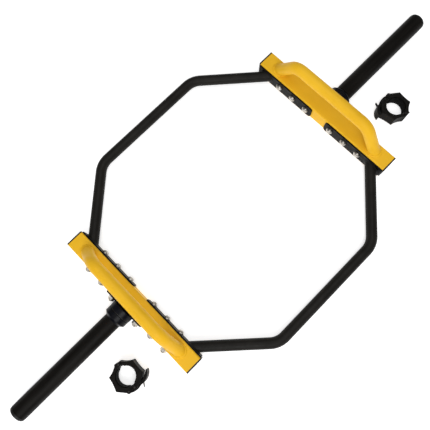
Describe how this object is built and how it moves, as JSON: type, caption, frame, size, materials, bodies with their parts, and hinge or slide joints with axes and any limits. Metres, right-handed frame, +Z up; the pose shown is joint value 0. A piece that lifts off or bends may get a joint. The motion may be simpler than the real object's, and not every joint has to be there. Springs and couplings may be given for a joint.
{
  "type": "hex trap bar",
  "caption": "Six-sided trap bar with bolted square-tube handles, raised grips and rotating plate sleeves, with loose lever-latch collars beside it.",
  "frame": {"origin": "middle of the bar on the floor, level with the undersides of the handle beams", "axes": "X along the sleeves with +X to the far handle in the picture, Y across the bar, +Z up"},
  "size_m": [1.5636, 0.725, 0.1423],
  "materials": {
    "black_coat": "satin black powder coat",
    "black_gloss_coat": "gloss black paint",
    "yellow_coat": "golden yellow powder coat",
    "black_plastic": "moulded black plastic",
    "zinc": "bright zinc",
    "steel": "ground steel",
    "bronze": "sintered bronze",
    "collar_plastic": "moulded black nylon",
    "pad_rubber": "black rubber"
  },
  "bodies": {
    "bar": {"frame_tube_front": "black_coat", "frame_tube_rear": "black_coat", "tube_plate_right_rear": "black_coat", "tube_plate_right_front": "black_coat", "tube_plate_left_rear": "black_coat", "tube_plate_left_front": "black_coat", "beam_cap_right_rear": "black_plastic", "beam_cap_right_front": "black_plastic", "beam_cap_left_rear": "black_plastic", "beam_cap_left_front": "black_plastic", "handle_beam_left": "yellow_coat", "handle_beam_right": "yellow_coat", "grip_left": "yellow_coat", "grip_right": "yellow_coat", "handle_bolts_left": "zinc", "handle_bolts_right": "zinc", "handle_washers_left": "zinc", "handle_washers_right": "zinc", "handle_nuts_left": "zinc", "handle_nuts_right": "zinc", "flange_plate_left": "black_coat", "flange_plate_right": "black_coat", "sleeve_hub_left": "black_gloss_coat", "sleeve_hub_right": "black_gloss_coat", "spindle_left": "steel", "spindle_right": "steel", "thrust_washer_left": "black_plastic", "thrust_washer_right": "black_plastic", "retaining_ring_left": "steel", "retaining_ring_right": "steel"},
    "sleeve_left": {"sleeve_left": "black_coat", "shoulder_ring_left": "black_coat", "sleeve_bushes_left": "bronze", "sleeve_end_cap_left": "black_plastic"},
    "collar_left": {"collar_fixed_jaw_left": "collar_plastic", "collar_hinge_pin_left": "steel", "collar_lever_pin_left": "steel", "collar_fixed_pad_left": "pad_rubber"},
    "collar_swing_left": {"collar_swing_jaw_left": "collar_plastic", "collar_latch_pin_left": "steel", "collar_swing_pad_left": "pad_rubber"},
    "collar_lever_left": {"collar_lever_left": "collar_plastic", "collar_link_pin_left": "steel"},
    "collar_link_left": {"collar_link_left": "collar_plastic"},
    "sleeve_right": {"sleeve_right": "black_coat", "shoulder_ring_right": "black_coat", "sleeve_bushes_right": "bronze", "sleeve_end_cap_right": "black_plastic"},
    "collar_right": {"collar_fixed_jaw_right": "collar_plastic", "collar_hinge_pin_right": "steel", "collar_lever_pin_right": "steel", "collar_fixed_pad_right": "pad_rubber"},
    "collar_swing_right": {"collar_swing_jaw_right": "collar_plastic", "collar_latch_pin_right": "steel", "collar_swing_pad_right": "pad_rubber"},
    "collar_lever_right": {"collar_lever_right": "collar_plastic", "collar_link_pin_right": "steel"},
    "collar_link_right": {"collar_link_right": "collar_plastic"}
  },
  "joints": [
    {"name": "sleeve_spin_left", "type": "hinge", "parent": "bar", "child": "sleeve_left", "pos_m": [-0.6, 0, 0.0343], "axis": [1, 0, 0], "continuous": true},
    {"name": "collar_lift_left", "type": "slide", "parent": "bar", "child": "collar_left", "axis": [0, 0, 1], "range_m": [0, 0.16]},
    {"name": "collar_lever_swing_left", "type": "hinge", "parent": "collar_left", "child": "collar_lever_left", "pos_m": [-0.52123, -0.16406, 0.019], "axis": [0, 0, -1], "range_deg": [0, 55]},
    {"name": "collar_jaw_swing_left", "type": "hinge", "parent": "collar_left", "child": "collar_swing_left", "pos_m": [-0.51398, -0.09356, 0.019], "axis": [0, 0, -1], "range_deg": [0, 1.8]},
    {"name": "collar_link_swing_left", "type": "hinge", "parent": "collar_lever_left", "child": "collar_link_left", "pos_m": [-0.50617, -0.16474, 0.019], "axis": [0, 0, 1], "range_deg": [0, 30]},
    {"name": "sleeve_spin_right", "type": "hinge", "parent": "bar", "child": "sleeve_right", "pos_m": [0.6, 0, 0.0343], "axis": [1, 0, 0], "continuous": true},
    {"name": "collar_lift_right", "type": "slide", "parent": "bar", "child": "collar_right", "axis": [0, 0, 1], "range_m": [0, 0.16]},
    {"name": "collar_lever_swing_right", "type": "hinge", "parent": "collar_right", "child": "collar_lever_right", "pos_m": [0.52233, -0.09723, 0.019], "axis": [0, 0, -1], "range_deg": [0, 55]},
    {"name": "collar_jaw_swing_right", "type": "hinge", "parent": "collar_right", "child": "collar_swing_right", "pos_m": [0.5294, -0.16774, 0.019], "axis": [0, 0, -1], "range_deg": [0, 1.8]},
    {"name": "collar_link_swing_right", "type": "hinge", "parent": "collar_lever_right", "child": "collar_link_right", "pos_m": [0.50744, -0.09959, 0.019], "axis": [0, 0, 1], "range_deg": [0, 30]}
  ],
  "couplings": [
    {"joint": "collar_jaw_swing_left", "follows": "collar_lever_swing_left", "ratio": 0.0325},
    {"joint": "collar_link_swing_left", "follows": "collar_lever_swing_left", "ratio": 0.545},
    {"joint": "collar_jaw_swing_right", "follows": "collar_lever_swing_right", "ratio": 0.0325},
    {"joint": "collar_link_swing_right", "follows": "collar_lever_swing_right", "ratio": 0.545}
  ]
}
